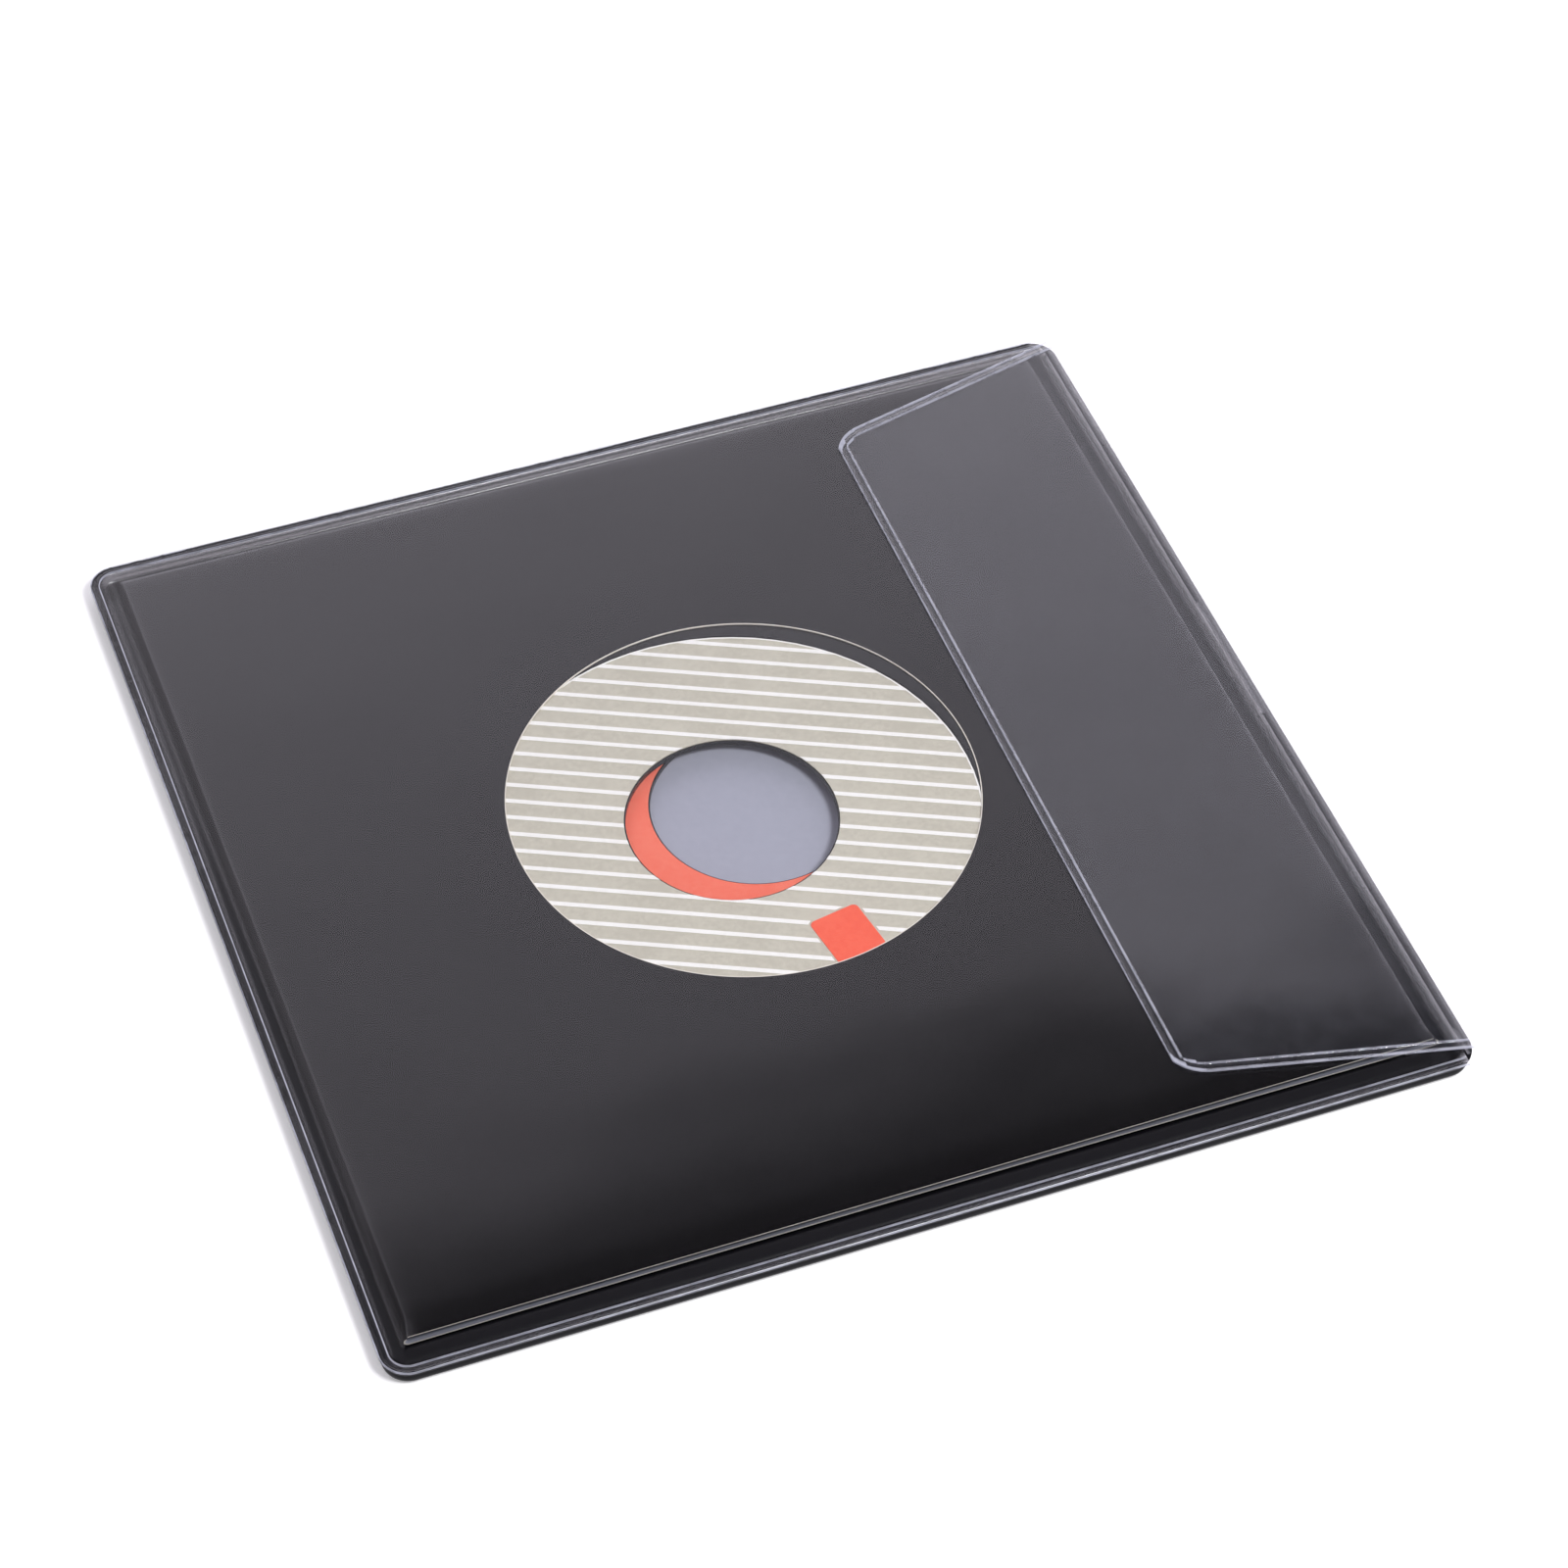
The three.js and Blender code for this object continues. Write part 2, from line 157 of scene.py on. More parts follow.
def noise_node(tree, position, scale, detail=2.0):
    made = add(tree, "ShaderNodeTexNoise", {"Vector": position, "Scale": scale, "Detail": detail})
    return made.outputs["Fac"]


def colour_mix(tree, factor, first, second):
    """A mix of two colours, each a socket or three numbers."""
    made = add(tree, "ShaderNodeMix", {0: factor, 6: rgba(first), 7: rgba(second)}, data_type="RGBA")
    return made.outputs[2]


def rgba(colour):
    return colour if isinstance(colour, bpy.types.NodeSocket) else (*colour, 1.0)


def bump_node(tree, height, strength, distance):
    made = add(tree, "ShaderNodeBump", {"Height": height, "Strength": strength, "Distance": distance})
    return made.outputs["Normal"]


def finish_material(tree, shader):
    add(tree, "ShaderNodeOutputMaterial", {"Surface": shader})


def position_of(tree):
    return add(tree, "ShaderNodeTexCoord").outputs["Object"]


# Materials

def film_fresnel(tree, normal, ior):
    """Share of light that a film face mirrors, the same from both of its sides."""
    behind = add(tree, "ShaderNodeNewGeometry").outputs["Backfacing"]
    either = add(tree, "ShaderNodeMapRange", {"Value": behind, "To Min": ior, "To Max": 1 / ior})
    return add(tree, "ShaderNodeFresnel", {"IOR": either.outputs["Result"], "Normal": normal}).outputs["Fac"]


def clear_film(name, milk_and_highlight=0.0, roughness=0.05, ior=1.36):
    """Clear glossy film, with a share of pale scattered light, high at welds and cut edges: partly the
    whitened weld, partly a painted highlight that stands in for the beads' glints.
    """
    material, tree = new_material(name)
    position = position_of(tree)
    dents = noise_node(tree, position, scale=60.0, detail=1.0)
    normal = bump_node(tree, dents, strength=0.2, distance=0.05 * MM)
    see = add(tree, "ShaderNodeBsdfTransparent", {"Color": (0.978, 0.980, 0.985, 1.0)}).outputs[0]
    gloss = add(tree, "ShaderNodeBsdfAnisotropic", {"Roughness": roughness, "Normal": normal}).outputs[0]
    film = add(tree, "ShaderNodeMixShader", {0: film_fresnel(tree, normal, ior), 1: see, 2: gloss}).outputs[0]
    if milk_and_highlight:
        pale_share_noise = noise_node(tree, position, scale=260.0)
        pale_share_by_noise = smooth_step(tree, pale_share_noise, 0.35, 0.65, to_low=0.75, to_high=1.15)
        share = math_node(tree, "MULTIPLY", pale_share_by_noise, milk_and_highlight)
        pale = add(tree, "ShaderNodeBsdfDiffuse", {"Color": (0.80, 0.82, 0.95, 1.0)}).outputs[0]
        film = add(tree, "ShaderNodeMixShader", {0: share, 1: film, 2: pale}).outputs[0]
    finish_material(tree, film)
    return material


# Painted shade: the back sheet is black so that its margins and its side show the dark of the sleeve's shadow
# and of the dark ground seen under a clear sleeve; its low specular keeps that side near black.
def black_film():
    material, tree = new_material("black_film")
    position = position_of(tree)
    dents = noise_node(tree, position, scale=160.0, detail=3.0)
    smears = noise_node(tree, position, scale=45.0, detail=4.0)
    shader = add(tree, "ShaderNodeBsdfPrincipled", {
        "Base Color": colour_mix(tree, smears, (0.004, 0.004, 0.006), (0.007, 0.007, 0.009)),
        "Roughness": smooth_step(tree, smears, 0.3, 0.7, to_low=0.12, to_high=0.2),
        "Specular IOR Level": 0.25,
        "Normal": bump_node(tree, dents, strength=0.12, distance=0.05 * MM),
    })
    finish_material(tree, shader.outputs[0])
    return material


def window_cut(tree, position, height):
    """1 on the edge of the paper's window and on the fibres round it."""
    from_window = vector_node(tree, "SUBTRACT", position, (*WINDOW_CENTRE, 0.0))
    across = vector_node(tree, "MULTIPLY", from_window, (1.0, 1.0, 0.0))
    radius = vector_node(tree, "LENGTH", across, output="Value")
    near = math_node(tree, "LESS_THAN", radius, WINDOW_RADIUS + CUT_LINE)
    above = math_node(tree, "GREATER_THAN", height, PAPER_HIGH.z - 1.4 * PAPER)
    return math_node(tree, "MULTIPLY", near, above)


def mouth_cut(tree, along, facing):
    """1 on the cut edges of the paper's mouth, which face forwards."""
    near = math_node(tree, "LESS_THAN", along, PAPER_LOW.y + 1.3 * MOUTH_STEP)
    forwards = math_node(tree, "MULTIPLY", facing, -1.0)
    return math_node(tree, "MULTIPLY", near, math_node(tree, "GREATER_THAN", forwards, 0.7))


def black_paper():
    """Glossy black outside, white inside but painted a darker bluish grey as shade, and cream where it is
    cut, at the window and at the mouth.
    """
    material, tree = new_material("black_paper")
    position = position_of(tree)
    geometry = add(tree, "ShaderNodeNewGeometry").outputs
    place = add(tree, "ShaderNodeSeparateXYZ", {0: geometry["Position"]}).outputs
    facing = add(tree, "ShaderNodeSeparateXYZ", {0: geometry["True Normal"]}).outputs
    at_window = window_cut(tree, geometry["Position"], place["Z"])
    at_mouth = mouth_cut(tree, place["Y"], facing["Y"])
    fibres = noise_node(tree, position, scale=900.0, detail=4.0)
    clouds = noise_node(tree, position, scale=60.0, detail=3.0)
    dents = noise_node(tree, position, scale=200.0, detail=2.0)
    black = colour_mix(tree, clouds, (0.0035, 0.0032, 0.0036), (0.0060, 0.0055, 0.0060))
    # Painted shade: the white of the inner side is darkened and tinted blue, as white paper in shade looks.
    white = colour_mix(tree, fibres, (0.36, 0.37, 0.44), (0.42, 0.43, 0.50))
    cream = colour_mix(tree, fibres, (0.72, 0.66, 0.56), (0.95, 0.91, 0.84))
    inside = add(tree, "ShaderNodeAttribute", attribute_name=INSIDE).outputs["Fac"]
    face = colour_mix(tree, math_node(tree, "GREATER_THAN", inside, 0.5), black, white)
    matt = math_node(tree, "GREATER_THAN", math_node(tree, "ADD", inside, at_window), 0.5)
    shader = add(tree, "ShaderNodeBsdfPrincipled", {
        "Base Color": colour_mix(tree, math_node(tree, "MAXIMUM", at_window, at_mouth), face, cream),
        "Roughness": smooth_step(tree, matt, 0.0, 1.0, to_low=0.16, to_high=0.6),
        "Specular IOR Level": smooth_step(tree, matt, 0.0, 1.0, to_low=0.45, to_high=0.2),
        "Normal": bump_node(tree, dents, strength=0.1, distance=0.03 * MM),
    })
    finish_material(tree, shader.outputs[0])
    return material


def vinyl(name, centre):
    """Pressed black vinyl with fine rings of groove round its centre."""
    material, tree = new_material(name)
    position = position_of(tree)
    rings = add(tree, "ShaderNodeTexWave", {
        "Vector": vector_node(tree, "SUBTRACT", position, (centre.x, centre.y, 0.0)),
        "Scale": 900.0,
        "Distortion": 0.4,
        "Detail": 1.0,
        "Detail Scale": 0.2,
    }, wave_type="RINGS", rings_direction="Z").outputs["Fac"]
    smears = noise_node(tree, position, scale=70.0, detail=3.0)
    shader = add(tree, "ShaderNodeBsdfPrincipled", {
        "Base Color": (0.006, 0.006, 0.0065, 1.0),
        "Roughness": smooth_step(tree, smears, 0.3, 0.7, to_low=0.18, to_high=0.3),
        "Normal": bump_node(tree, rings, strength=0.2, distance=0.02 * MM),
    })
    finish_material(tree, shader.outputs[0])
    return material


def printed_paper(name, first, second, roughness=0.7):
    """Uncoated paper or ink on it, with fibres and a faint mottle."""
    material, tree = new_material(name)
    position = position_of(tree)
    fibres = noise_node(tree, position, scale=1200.0, detail=5.0)
    mottle = noise_node(tree, position, scale=130.0, detail=3.0)
    shares = [math_node(tree, "MULTIPLY", fibres, 0.6), math_node(tree, "MULTIPLY", mottle, 0.4)]
    tone = math_node(tree, "ADD", *shares)
    shader = add(tree, "ShaderNodeBsdfPrincipled", {
        "Base Color": colour_mix(tree, smooth_step(tree, tone, 0.35, 0.65), first, second),
        "Roughness": roughness,
        "Specular IOR Level": 0.3,
        "Normal": bump_node(tree, fibres, strength=0.3, distance=0.02 * MM),
    })
    finish_material(tree, shader.outputs[0])
    return material


FACE_SLOT, LINE_SLOT = 0, 1
FILM_FACE = clear_film("clear_film")
# The pale weld and flap lines are partly whitened film and partly a painted highlight in place of glints on
# the beads.
FILM_LINE = clear_film("clear_film_weld_line", milk_and_highlight=0.42, roughness=0.2)
FLAP_FACE = clear_film("flap_film", milk_and_highlight=0.01, ior=1.4)
FLAP_LINE = clear_film("flap_film_line", milk_and_highlight=0.3, roughness=0.2)


# Mesh helpers

def spaced(low, high, low_insets, high_insets):
    """Coordinates from low to high: close lines at the insets from each end, and even ones between them."""
    start = low + (low_insets[-1] if low_insets else 0.0)
    end = high - (high_insets[-1] if high_insets else 0.0)
    count = max(2, round((end - start) / GRID))
    middle = [start + (end - start) * i / count for i in range(count + 1)]
    near = [low + inset for inset in low_insets[:-1]]
    far = [high - inset for inset in reversed(high_insets[:-1])]
    return near + middle + far


def soft_wave(x, y, seed):
    """From 0 to 1, slowly changing over the film or the paper."""
    value = noise.noise(Vector((x / WAVE_SIZE, y / WAVE_SIZE, seed)))
    return min(max(0.5 + value, 0.0), 1.0)


def ease(share):
    share = min(max(share, 0.0), 1.0)
    return share * share * (3 - 2 * share)


def bead_rise(inset, start):
    """Height of a rounded bead that starts at an inset."""
    share = (inset - start) / BEAD
    if not 0 < share < 1:
        return 0.0
    return BEAD_HEIGHT * math.sin(math.pi * share)


def bead_insets(start):
    return [start + BEAD * (step / BEAD_STEPS) for step in range(BEAD_STEPS + 1)]


def new_piece(name, shell, materials, merge):
    """An object from a closed bmesh, with doubles merged and its faces turned outwards."""
    bmesh.ops.remove_doubles(shell, verts=shell.verts, dist=merge)
    bmesh.ops.recalc_face_normals(shell, faces=shell.faces)
    if shell.calc_volume(signed=True) < 0:
        bmesh.ops.reverse_faces(shell, faces=shell.faces)
    mesh = bpy.data.meshes.new(name)
    shell.to_mesh(mesh)
    shell.free()
    for material in materials:
        mesh.materials.append(material)
    piece = bpy.data.objects.new(name, mesh)
    bpy.context.collection.objects.link(piece)
    return piece


def place_piece(piece, slot, *nodes):
    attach(piece, "root")
    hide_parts(*nodes)


def film_shell(rows, face_slot, edge_slot):
    """A closed shell from rows of (under, over) points. The two slots pick each face's material."""
    shell = bmesh.new()
    under = [[shell.verts.new(pair[0]) for pair in row] for row in rows]
    over = [[shell.verts.new(pair[1]) for pair in row] for row in rows]
    last_row, last_column = len(rows) - 1, len(rows[0]) - 1
    for i in range(last_row):
        for j in range(last_column):
            top = shell.faces.new((over[i][j], over[i + 1][j], over[i + 1][j + 1], over[i][j + 1]))
            low = shell.faces.new((under[i][j], under[i][j + 1], under[i + 1][j + 1], under[i + 1][j]))
            for made in (top, low):
                made.smooth = True
                made.material_index = face_slot(made.calc_center_median())
    border = [(i, 0) for i in range(last_row)]
    border += [(last_row, j) for j in range(last_column)]
    border += [(i, last_column) for i in range(last_row, 0, -1)]
    border += [(0, j) for j in range(last_column, 0, -1)]
    for (i, j), (k, m) in zip(border, border[1:] + border[:1]):
        edge = shell.faces.new((over[i][j], under[i][j], under[k][m], over[k][m]))
        edge.material_index = edge_slot(edge.calc_center_median())
    return shell


# Front sheet

def rim_insets():
    """Insets of the grid lines over the weld and the shoulder."""
    weld = [0.0, LINE, BEAD / 2 + LINE / 2, BEAD, WELD - BEAD, WELD - LINE / 2, WELD + LINE / 2]
    shoulder = [WELD + SHOULDER * step / SHOULDER_STEPS for step in range(1, SHOULDER_STEPS + 1)]
    return weld + shoulder + [CORNER + BEAD]


def rim_wander(x, y):
    """Small rise and fall of the welded rim along the edges."""
    return RIM_WANDER * noise.noise(Vector((x * RIM_WANDER_RATE, y * RIM_WANDER_RATE, 7.0)))


def rounded(across, along):
    """A corner square from 0 to 1 both ways, turned into a quarter disc, ring by ring."""
    ring = max(across, along)
    if ring <= 0:
        return 0.0, 0.0
    turn = math.pi / 4 * min(across, along) / ring
    angle = turn if across >= along else math.pi / 2 - turn
    return ring * CORNER * math.cos(angle), ring * CORNER * math.sin(angle)


def front_plan(x, y):
    """The point that a grid crossing moves to when the two left corners are rounded, and its inset."""
    left = FRONT_LOW.x + CORNER
    front, back = FRONT_LOW.y + CORNER, FRONT_HIGH.y - CORNER
    end = -1 if y < front else (1 if y > back else 0)
    if x < left and end:
        from_y = front if end < 0 else back
        across, along = rounded((left - x) / CORNER, abs(y - from_y) / CORNER)
        return left - across, from_y + end * along, CORNER - math.hypot(across, along)
    return x, y, min(x - FRONT_LOW.x, y - FRONT_LOW.y, FRONT_HIGH.y - y)


def front_point(x, y):
    """(Under, over) points of the front sheet: level on the rim, then up over the shoulder to the front."""
    px, py, inset = front_plan(x, y)
    rim = RIM_Z + rim_wander(px, py)
    flat = FRONT_HIGH.z - FILM + WAVE * soft_wave(px, py, seed=3.0)
    z = rim + (flat - rim) * ease((inset - WELD) / SHOULDER)
    rise = bead_rise(inset, 0.0) + bead_rise(inset, WELD - BEAD)
    return Vector((px, py, z)), Vector((px, py, z + FILM + rise))


def outline_inset(x, y):
    """How far a point of the front sheet lies in from its welded outline with the rounded corners."""
    past_x = max(FRONT_LOW.x + CORNER - x, 0.0)
    past_y = max(abs(y) - (FRONT_HIGH.y - CORNER), 0.0)
    if past_x and past_y:
        return CORNER - math.hypot(past_x, past_y)
    return min(x - FRONT_LOW.x, FRONT_HIGH.y - abs(y))


def front_face_slot(centre):
    """The weld's two pale lines, and clear film elsewhere."""
    inset = outline_inset(*centre.xy)
    return LINE_SLOT if inset < LINE or abs(inset - WELD) < LINE / 2 else FACE_SLOT


def front_edge_slot(centre):
    """Pale edges, but for the clear one at the mouth."""
    return FACE_SLOT if centre.x > FRONT_HIGH.x - 0.1 * MM else LINE_SLOT


def front_sheet():
    insets = rim_insets()
    xs = spaced(FRONT_LOW.x, FRONT_HIGH.x, insets, [])
    ys = spaced(FRONT_LOW.y, FRONT_HIGH.y, insets, insets)
    rows = [[front_point(x, y) for y in ys] for x in xs]
    shell = film_shell(rows, front_face_slot, front_edge_slot)
    piece = new_piece("front_sheet_film", shell, [FILM_FACE, FILM_LINE], FILM_MERGE)
    place_piece(piece, "clear_film", "front_sheet")


# Back sheet

def side_points(depth):
    """One face of the back sheet's side, as (inset, height), from the flat back up to the rim's slit."""
    widest = SIDE_INSET + depth
    neck = RIM_Z - FILM - SLIT - depth
    angles = [(step / BEND_STEPS) * math.pi / 2 for step in range(BEND_STEPS + 1)]

    def bend(angle, run, end):
        return widest + run * (1 - math.cos(angle)), SIDE_HEIGHT + (end - SIDE_HEIGHT) * math.sin(angle)

    foot = [bend(angle, FOOT - depth, depth) for angle in reversed(angles)]
    head = [bend(angle, WELD - SIDE_INSET, neck) for angle in angles[1:]]
    return foot + head


def back_profile():
    """The back sheet's section, as (inset, height): its outer side, the rim and its inner side."""
    rim = [(WELD, RIM_Z - FILM), (0.0, RIM_Z - FILM), (0.0, RIM_Z), (WELD + FILM, RIM_Z)]
    return side_points(0.0) + rim + side_points(FILM)[::-1]


def outline_ring(inset):
    """Points round the back sheet's rounded outline, drawn in by an inset."""
    radius = max(CORNER - inset, SMALLEST_CORNER)
    ring = []
    for quarter, (side, end) in enumerate(((1, 1), (-1, 1), (-1, -1), (1, -1))):
        centre = Vector((side * (BACK_HIGH.x - inset - radius), end * (BACK_HIGH.y - inset - radius)))
        for step in range(CORNER_STEPS + 1):
            angle = (quarter + step / CORNER_STEPS) * math.pi / 2
            ring.append(centre + radius * Vector((math.cos(angle), math.sin(angle))))
    dense = []
    for start, stop in zip(ring, ring[1:] + ring[:1]):
        count = max(1, round((stop - start).length / (2 * GRID)))
        dense += [start.lerp(stop, i / count) for i in range(count)]
    return dense


def sampled(points, count):
    """The same count of points from each ring, however long it is."""
    share = len(points) / count
    return [points[min(int(i * share), len(points) - 1)] for i in range(count)]


def back_sheet():
    shell = bmesh.new()
    count = len(outline_ring(CORNER / 2))
    rings = []
    for inset, height in back_profile():
        ring = []
        for point in sampled(outline_ring(inset), count):
            lift = rim_wander(point.x, point.y) * height / RIM_Z
            ring.append(shell.verts.new((point.x, point.y, height + lift)))
        rings.append(ring)
    for ring, upper in zip(rings, rings[1:]):
        for i in range(count):
            j = (i + 1) % count
            shell.faces.new((ring[i], ring[j], upper[j], upper[i])).smooth = True
    shell.faces.new(rings[0][::-1])
    shell.faces.new(rings[-1])
    piece = new_piece("back_sheet_film", shell, [black_film()], FILM_MERGE)
    place_piece(piece, "black_film", "back_sheet")


# Flap

def flap_half(reach):
    """Half length of the flap at a reach from the fold, with its rounded free corners."""
    half = FLAP_HIGH.y - FLAP_TAPER * reach
    free = FLAP_HIGH.x - FLAP_LOW.x
    into = reach - (free - FLAP_CORNER)
    if into > 0:
        half -= FLAP_CORNER - math.sqrt(max(FLAP_CORNER ** 2 - into ** 2, 0.0))
    return half


def flap_path():
    """Stations from the weld round the fold to the free edge, as (x, turn), on the front at half a turn."""
    turns = [math.pi / 2 * step / BEND_STEPS for step in range(1, BEND_STEPS + 1)]
    corner = [FLAP_CORNER * (1 - math.cos(turn)) for turn in turns]
    lines = bead_insets(0.0) + bead_insets(FLAP_LINE_INSET) + [FLAP_LINE_INSET + BEAD + BEAD_GAP]
    leg = spaced(FLAP_LOW.x, FOLD_X, sorted({round(inset, 7) for inset in corner + lines}), [])
    path = [(FLAP_HIGH.x - WELD, 0.0), (FOLD_X, 0.0)]
    path += [(FOLD_X, math.pi * step / FOLD_STEPS) for step in range(1, FOLD_STEPS + 1)]
    path += [(x, math.pi) for x in reversed(leg[:-1])]
    return path


def flap_across(half):
    """Places along Y over the flap's length: close lines at its beads, and even ones between them."""
    calm = [FLAP_LINE_INSET + BEAD + gap for gap in (BEAD_GAP, 0.6 * MM, 2 * MM, 5 * MM)]
    insets = bead_insets(0.0) + [BEAD + BEAD_GAP] + bead_insets(FLAP_LINE_INSET) + calm
    inner = half - insets[-1]
    count = round(2 * FLAP_HIGH.y / GRID)
    ys = [-half + inset for inset in insets[:-1]]
    ys += [-inner + 2 * inner * i / count for i in range(count + 1)]
    ys += [half - inset for inset in reversed(insets[:-1])]
    return ys


def flap_row(x, turn):
    """(Under, over) points over the flap's length at a station. Waves and beads are on the front alone."""
    lies = turn >= math.pi
    reach = max(0.0, FLAP_HIGH.x - x - FLAP_TURN) if turn >= math.pi / 2 else 0.0
    half = flap_half(reach)
    away = Vector((math.sin(turn), 0.0, -math.cos(turn)))
    row = []
    for y in flap_across(half):
        wave, rise = 0.0, 0.0
        if lies:
            inset = min(x - FLAP_LOW.x, half - abs(y))
            wave = WAVE * (soft_wave(x, y, seed=3.0) + FLAP_WAVE_SHARE * soft_wave(x, y, seed=11.0))
            rise = bead_rise(inset, 0.0) / 2 + bead_rise(inset, FLAP_LINE_INSET)
        centre = Vector((x, y, RIM_Z + FLAP_TURN + wave))
        row.append((centre + away * (FLAP_TURN - FILM), centre + away * (FLAP_TURN + rise)))
    return row


def flap_face_slot(centre):
    """The pale embossed line and the pale outer half of the edge's bead, and clear film elsewhere."""
    inset = min(centre.x - FLAP_LOW.x, flap_half(max(0.0, FLAP_HIGH.x - centre.x)) - abs(centre.y))
    embossed = abs(inset - FLAP_LINE_INSET - BEAD / 2) < BEAD * 0.35
    pale = (embossed or inset < BEAD / 2) and centre.z > RIM_Z + FLAP_TURN
    return LINE_SLOT if pale else FACE_SLOT


def flap_edge_slot(centre):
    return LINE_SLOT if centre.z > RIM_Z + FLAP_TURN else FACE_SLOT


def flap():
    rows = [flap_row(x, turn) for x, turn in flap_path()]
    shell = film_shell(rows, flap_face_slot, flap_edge_slot)
    piece = new_piece("flap_film", shell, [FLAP_FACE, FLAP_LINE], FILM_MERGE)
    place_piece(piece, "clear_film", "flap")


# Paper sleeve

def paper_heights(x, y):
    """Outer faces of the lower and the upper panel. Near the mouth the lower one is pressed up."""
    shut = max(0.0, 1 - (y - PAPER_LOW.y) / MOUTH_RUN)
    lift = MOUTH_LIFT - MOUTH_BOW * (x / PAPER_HIGH.x) ** 2
    wander = MOUTH_WANDER * noise.noise(Vector((x * MOUTH_WANDER_RATE, 0.0, 2.0)))
    sag = PAPER_WAVE * soft_wave(x, y, seed=21.0)
    return PAPER_LOW.z + (lift + wander) * shut ** 2, PAPER_HIGH.z - sag - MOUTH_DROP * shut


def paper_section(y, grow, depth):
    """A closed loop of points round the sleeve at y, a depth inside its outer face, seen from the mouth."""
    left, right = PAPER_LOW.x, PAPER_HIGH.x
    count = round((right - left) / GRID)
    low, high = paper_heights(right, y)
    half = (high - low) / 2 * grow
    fold = min(half, PAPER_FOLD)
    step_back = MOUTH_STEP if y < PAPER_LOW.y + 0.01 * MM else 0.0

    def panel_point(i, side):
        x = left + fold + (right - left - 2 * fold) * (i / count)
        low, high = paper_heights(x, y)
        rise = max((high - low) / 2 * grow - depth, 0.0)
        return Vector((x, y + (step_back if side > 0 else 0.0), (low + high) / 2 + side * rise))

    lower = [panel_point(i, -1) for i in range(count + 1)]
    upper = [panel_point(i, 1) for i in range(count, -1, -1)]
    right_fold = fold_points(right - fold, y, half, fold, depth, 1)
    left_fold = fold_points(left + fold, y, half, fold, depth, -1)
    return lower + right_fold + upper + left_fold


def fold_points(x, y, half, fold, depth, side):
    """The points between the two panels, round a folded side."""
    low, high = paper_heights(PAPER_HIGH.x, y)
    points = []
    for step in range(1, BEND_STEPS):
        angle = (step / BEND_STEPS - 0.5) * math.pi * side
        reach = max(fold - depth, 0.0) * math.cos(angle)
        rise = max(half - depth, 0.0) * math.sin(angle)
        points.append(Vector((x + side * reach, y, (low + high) / 2 + rise)))
    return points


def paper_stations():
    """Places along Y from the mouth to the closed back, each with how open the sleeve is there."""
    near = [PAPER_LOW.y + MOUTH_RUN * step / MOUTH_STEPS for step in range(MOUTH_STEPS + 1)]
    last = PAPER_HIGH.y - PAPER_FOLD
    count = round((last - near[-1]) / GRID)
    stations = [(y, 1.0) for y in near[:-1]]
    stations += [(near[-1] + (last - near[-1]) * i / count, 1.0) for i in range(count + 1)]
    for step in range(1, BEND_STEPS + 1):
        angle = step / BEND_STEPS * math.pi / 2
        stations.append((last + PAPER_FOLD * math.sin(angle), math.cos(angle)))
    return stations


def wall(shell, corners):
    """A flat face between the two sides of the paper, with sharp edges."""
    face = shell.faces.new(corners)
    for edge in face.edges:
        edge.smooth = False


def in_window(point):
    return point.z > PAPER_HIGH.z - PAPER and (point.xy - WINDOW_CENTRE).length < WINDOW_RADIUS


def cut_window(shell, outer, inner, removed, count):
    """Rounds the edge of the removed faces to the window's circle, and joins the two sides there."""
    for k, i in sorted(removed):
        j = (i + 1) % count
        sides = (((k, i), (k, j), (k - 1, i)), ((k, j), (k + 1, j), (k, i + 1)),
                 ((k + 1, j), (k + 1, i), (k + 1, i)), ((k + 1, i), (k, i), (k, i - 1)))
        for start, stop, beside in sides:
            if beside in removed:
                continue
            for ring, column in (start, stop):
                for side in (outer, inner):
                    vertex = side[ring][column]
                    away = vertex.co.xy - WINDOW_CENTRE
                    vertex.co.xy = WINDOW_CENTRE + away.normalized() * WINDOW_RADIUS
            (a, b), (c, d) = start, stop
            wall(shell, (inner[a][b], inner[c][d], outer[c][d], outer[a][b]))


def paper_faces(shell, outer, inner, count):
    """Fills both sides of the paper, marks the inner one, and returns the places left out for the window."""
    inside = shell.faces.layers.float.new(INSIDE)
    removed = set()
    for k in range(len(outer) - 1):
        for i in range(count):
            j = (i + 1) % count
            if in_window((outer[k][i].co + outer[k + 1][j].co) / 2):
                removed.add((k, i))
                continue
            for rings, flag in ((outer, 0.0), (inner, 1.0)):
                corners = (rings[k][i], rings[k][j], rings[k + 1][j], rings[k + 1][i])
                face = shell.faces.new(corners[::-1] if flag else corners)
                face.smooth = True
                face[inside] = flag
    return removed


def paper_sleeve():
    shell = bmesh.new()
    stations = paper_stations()
    outer = [[shell.verts.new(p) for p in paper_section(y, grow, 0.0)] for y, grow in stations]
    inner_stations = [(min(y, PAPER_HIGH.y - PAPER), grow) for y, grow in stations]
    inner = [[shell.verts.new(p) for p in paper_section(y, grow, PAPER)] for y, grow in inner_stations]
    count = len(outer[0])
    removed = paper_faces(shell, outer, inner, count)
    cut_window(shell, outer, inner, removed, count)
    for i in range(count):
        j = (i + 1) % count
        wall(shell, (inner[0][i], inner[0][j], outer[0][j], outer[0][i]))
    loose = [vertex for vertex in shell.verts if not vertex.link_faces]
    bmesh.ops.delete(shell, geom=loose, context="VERTS")
    piece = new_piece("paper_sleeve", shell, [black_paper()], PAPER_MERGE)
    place_piece(piece, "black_paper", "inner_sleeve")


# Solids that keep their shape

def dress(material, *nodes):
    for node in nodes:
        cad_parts[node].material_slots[0].material = material


